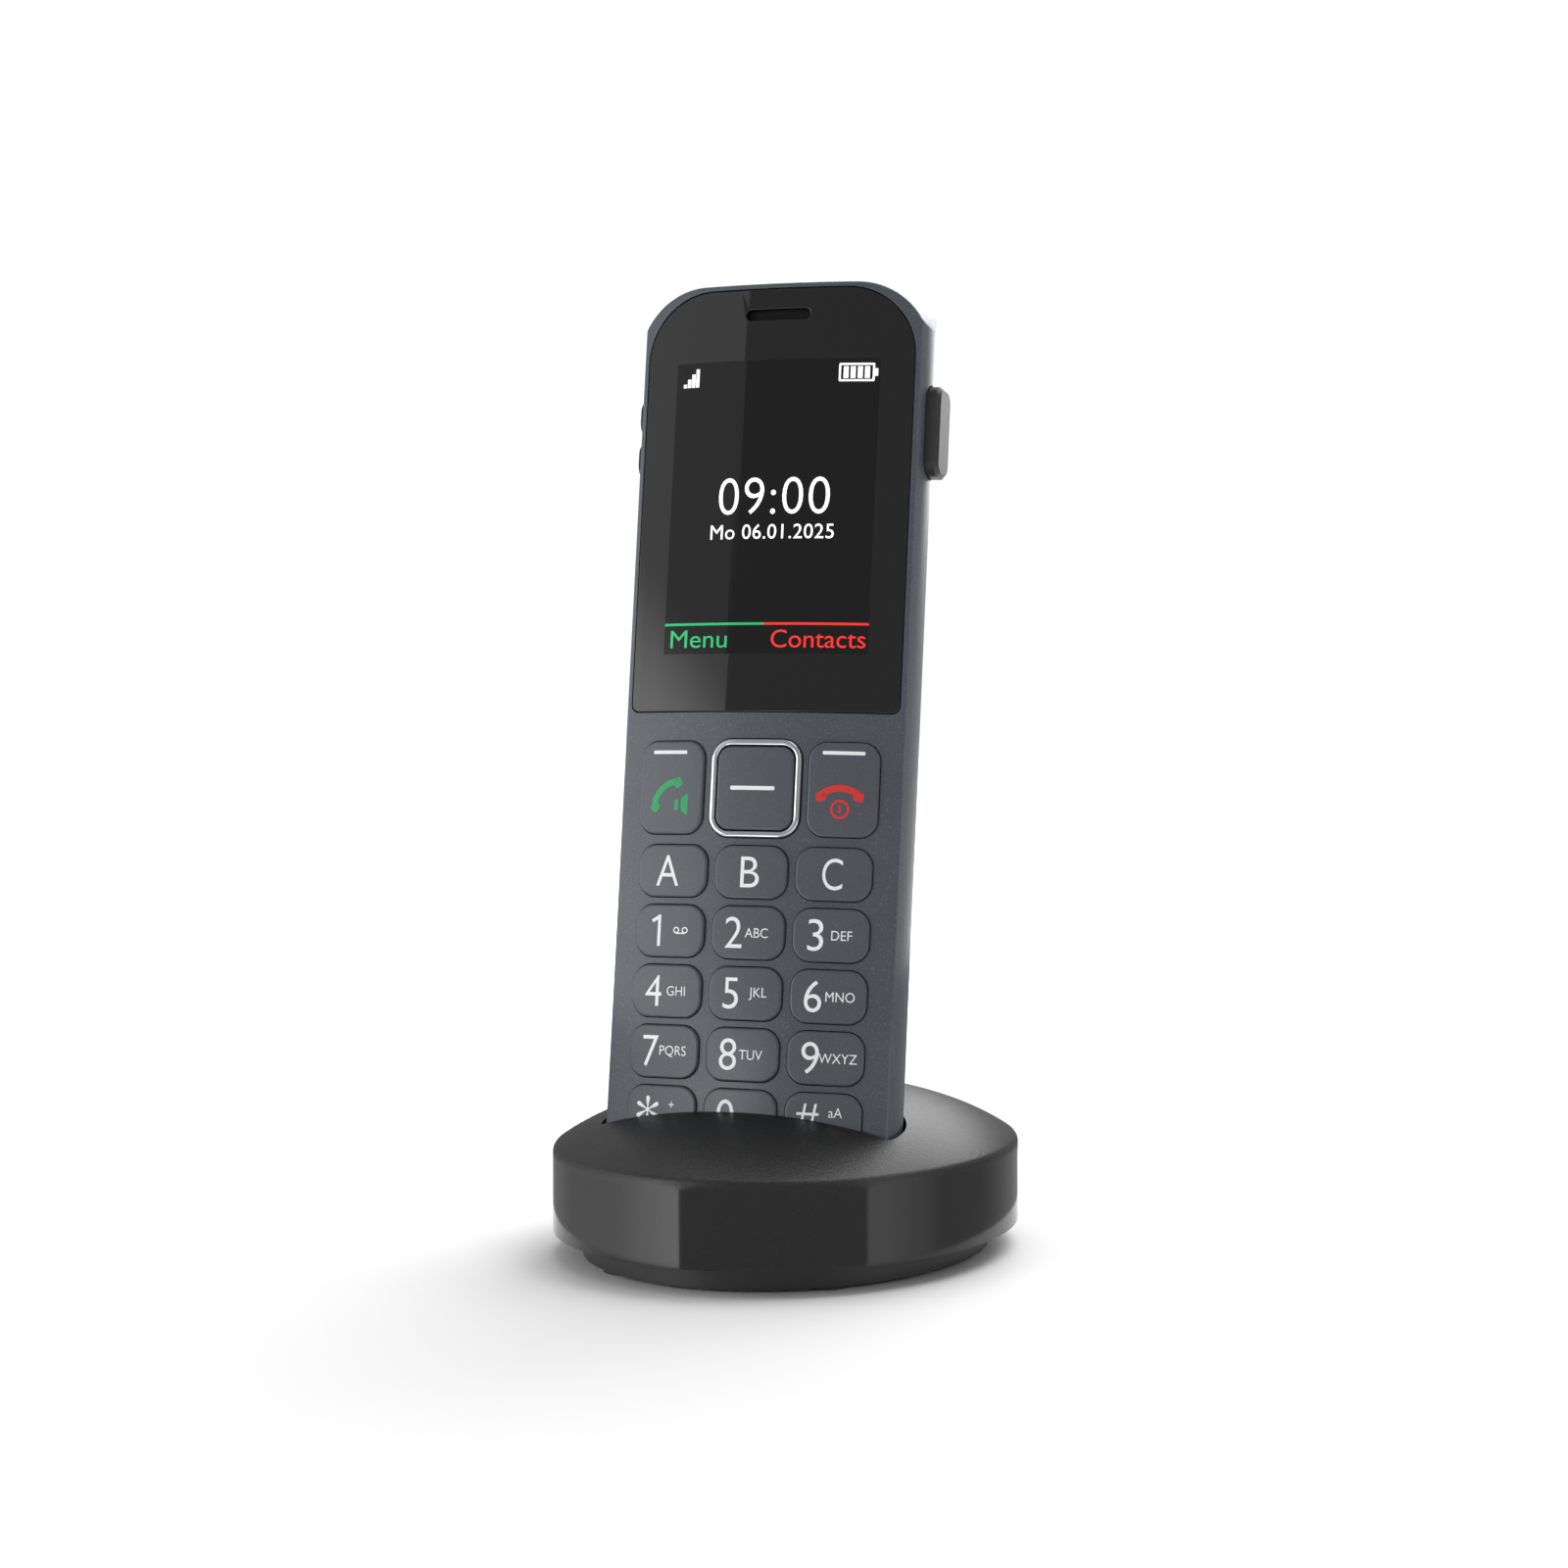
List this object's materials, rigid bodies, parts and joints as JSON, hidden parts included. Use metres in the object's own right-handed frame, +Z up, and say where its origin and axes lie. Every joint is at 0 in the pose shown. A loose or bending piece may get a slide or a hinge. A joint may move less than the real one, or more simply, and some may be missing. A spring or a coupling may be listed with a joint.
{
  "type": "cordless phone with charging cradle",
  "caption": "Cordless phone handset with large keys and a colour display, standing in an oval desktop charging cradle.",
  "frame": {"origin": "centre of the cradle's underside, on the surface it stands on", "axes": "+Z up, the handset's display and keys face -Y, +X to the right when looking at the keys"},
  "size_m": [0.0788, 0.0954, 0.1662],
  "materials": {
    "slate_plastic": "fine metallic grain, satin",
    "key_plastic": "fine metallic grain, satin",
    "black_window": "high gloss",
    "display": "smooth",
    "white_frame": "moulded",
    "board": "solder mask",
    "silicone": "moulded silicone",
    "steel": "bright",
    "chrome_trim": "satin chrome",
    "gold_contact": "gold plated",
    "black_part": "moulded",
    "side_black": "satin",
    "cell_jacket": "printed film, no print",
    "cradle_black": "fine grained top, satin side",
    "cradle_foot": "moulded",
    "foot_rubber": "soft",
    "mesh_black": "woven"
  },
  "bodies": {
    "cradle": {"cradle_top_shell": "cradle_black", "cradle_base_plate": "cradle_foot", "cradle_feet": "foot_rubber", "cradle_screws": "steel", "contact_board": "board", "contact_carrier": "black_part", "power_inlet": "black_part"},
    "handset": {"front_housing": "slate_plastic", "rear_housing": "slate_plastic", "display_window": "black_window", "display_module": "display", "display_frame": "white_frame", "earpiece_receiver": "black_part", "earpiece_mesh": "mesh_black", "main_board": "board", "keypad_mat": "silicone", "dome_sheet": "steel", "radio_shield": "steel", "antenna": "steel", "microphone": "black_part", "hands_free_speaker": "black_part", "battery_cell_left": "cell_jacket", "battery_cell_right": "cell_jacket", "battery_contacts": "steel", "charging_pads": "gold_contact", "housing_screws": "steel"},
    "battery_cover": {"battery_cover": "slate_plastic"},
    "nav_ring": {"nav_ring": "chrome_trim"},
    "side_key": {"side_key": "side_black"},
    "volume_rocker": {"volume_rocker": "side_black"},
    "contact_pin_left": {"contact_pin_left": "gold_contact"},
    "contact_pin_right": {"contact_pin_right": "gold_contact"},
    "key_star": {"key_star": "key_plastic"},
    "key_0": {"key_0": "key_plastic"},
    "key_hash": {"key_hash": "key_plastic"},
    "key_7": {"key_7": "key_plastic"},
    "key_8": {"key_8": "key_plastic"},
    "key_9": {"key_9": "key_plastic"},
    "key_4": {"key_4": "key_plastic"},
    "key_5": {"key_5": "key_plastic"},
    "key_6": {"key_6": "key_plastic"},
    "key_1": {"key_1": "key_plastic"},
    "key_2": {"key_2": "key_plastic"},
    "key_3": {"key_3": "key_plastic"},
    "key_a": {"key_a": "key_plastic"},
    "key_b": {"key_b": "key_plastic"},
    "key_c": {"key_c": "key_plastic"},
    "key_talk": {"key_talk": "key_plastic"},
    "key_end": {"key_end": "key_plastic"},
    "nav_key": {"nav_key": "key_plastic"}
  },
  "joints": [
    {"name": "handset_lift", "type": "slide", "parent": "cradle", "child": "handset", "axis": [0, 0.1404, 0.9901], "range_m": [0, 0.06]},
    {"name": "battery_cover_off", "type": "slide", "parent": "handset", "child": "battery_cover", "axis": [0, 0.9901, -0.1404], "range_m": [0, 0.012]},
    {"name": "key_star_press", "type": "slide", "parent": "handset", "child": "key_star", "axis": [0, 0.9901, -0.1404], "range_m": [0, 0.0006], "stiffness_N_per_m": 900},
    {"name": "key_0_press", "type": "slide", "parent": "handset", "child": "key_0", "axis": [0, 0.9901, -0.1404], "range_m": [0, 0.0006], "stiffness_N_per_m": 900},
    {"name": "key_hash_press", "type": "slide", "parent": "handset", "child": "key_hash", "axis": [0, 0.9901, -0.1404], "range_m": [0, 0.0006], "stiffness_N_per_m": 900},
    {"name": "key_7_press", "type": "slide", "parent": "handset", "child": "key_7", "axis": [0, 0.9901, -0.1404], "range_m": [0, 0.0006], "stiffness_N_per_m": 900},
    {"name": "key_8_press", "type": "slide", "parent": "handset", "child": "key_8", "axis": [0, 0.9901, -0.1404], "range_m": [0, 0.0006], "stiffness_N_per_m": 900},
    {"name": "key_9_press", "type": "slide", "parent": "handset", "child": "key_9", "axis": [0, 0.9901, -0.1404], "range_m": [0, 0.0006], "stiffness_N_per_m": 900},
    {"name": "key_4_press", "type": "slide", "parent": "handset", "child": "key_4", "axis": [0, 0.9901, -0.1404], "range_m": [0, 0.0006], "stiffness_N_per_m": 900},
    {"name": "key_5_press", "type": "slide", "parent": "handset", "child": "key_5", "axis": [0, 0.9901, -0.1404], "range_m": [0, 0.0006], "stiffness_N_per_m": 900},
    {"name": "key_6_press", "type": "slide", "parent": "handset", "child": "key_6", "axis": [0, 0.9901, -0.1404], "range_m": [0, 0.0006], "stiffness_N_per_m": 900},
    {"name": "key_1_press", "type": "slide", "parent": "handset", "child": "key_1", "axis": [0, 0.9901, -0.1404], "range_m": [0, 0.0006], "stiffness_N_per_m": 900},
    {"name": "key_2_press", "type": "slide", "parent": "handset", "child": "key_2", "axis": [0, 0.9901, -0.1404], "range_m": [0, 0.0006], "stiffness_N_per_m": 900},
    {"name": "key_3_press", "type": "slide", "parent": "handset", "child": "key_3", "axis": [0, 0.9901, -0.1404], "range_m": [0, 0.0006], "stiffness_N_per_m": 900},
    {"name": "key_a_press", "type": "slide", "parent": "handset", "child": "key_a", "axis": [0, 0.9901, -0.1404], "range_m": [0, 0.0006], "stiffness_N_per_m": 900},
    {"name": "key_b_press", "type": "slide", "parent": "handset", "child": "key_b", "axis": [0, 0.9901, -0.1404], "range_m": [0, 0.0006], "stiffness_N_per_m": 900},
    {"name": "key_c_press", "type": "slide", "parent": "handset", "child": "key_c", "axis": [0, 0.9901, -0.1404], "range_m": [0, 0.0006], "stiffness_N_per_m": 900},
    {"name": "key_talk_press", "type": "slide", "parent": "handset", "child": "key_talk", "axis": [0, 0.9901, -0.1404], "range_m": [0, 0.0006], "stiffness_N_per_m": 900},
    {"name": "key_end_press", "type": "slide", "parent": "handset", "child": "key_end", "axis": [0, 0.9901, -0.1404], "range_m": [0, 0.0006], "stiffness_N_per_m": 900},
    {"name": "nav_key_press", "type": "slide", "parent": "handset", "child": "nav_key", "axis": [0, 0.9901, -0.1404], "range_m": [0, 0.0006], "stiffness_N_per_m": 900},
    {"name": "nav_ring_rock", "type": "hinge", "parent": "handset", "child": "nav_ring", "pos_m": [0, -0.01415, 0.07985], "axis": [1, 0, 0], "range_deg": [-2, 2], "stiffness_Nm_per_rad": 0.2},
    {"name": "side_key_press", "type": "slide", "parent": "handset", "child": "side_key", "axis": [-1, 0, 0], "range_m": [0, 0.0006], "stiffness_N_per_m": 900},
    {"name": "volume_rock", "type": "hinge", "parent": "handset", "child": "volume_rocker", "pos_m": [-0.0243, 0.00046, 0.14019], "axis": [0, 0.9901, -0.1404], "range_deg": [-2.5, 2.5], "stiffness_Nm_per_rad": 0.05},
    {"name": "contact_pin_left_press", "type": "slide", "parent": "cradle", "child": "contact_pin_left", "axis": [0, -0.1404, -0.9901], "range_m": [0, 0.0008], "stiffness_N_per_m": 400},
    {"name": "contact_pin_right_press", "type": "slide", "parent": "cradle", "child": "contact_pin_right", "axis": [0, -0.1404, -0.9901], "range_m": [0, 0.0008], "stiffness_N_per_m": 400}
  ]
}
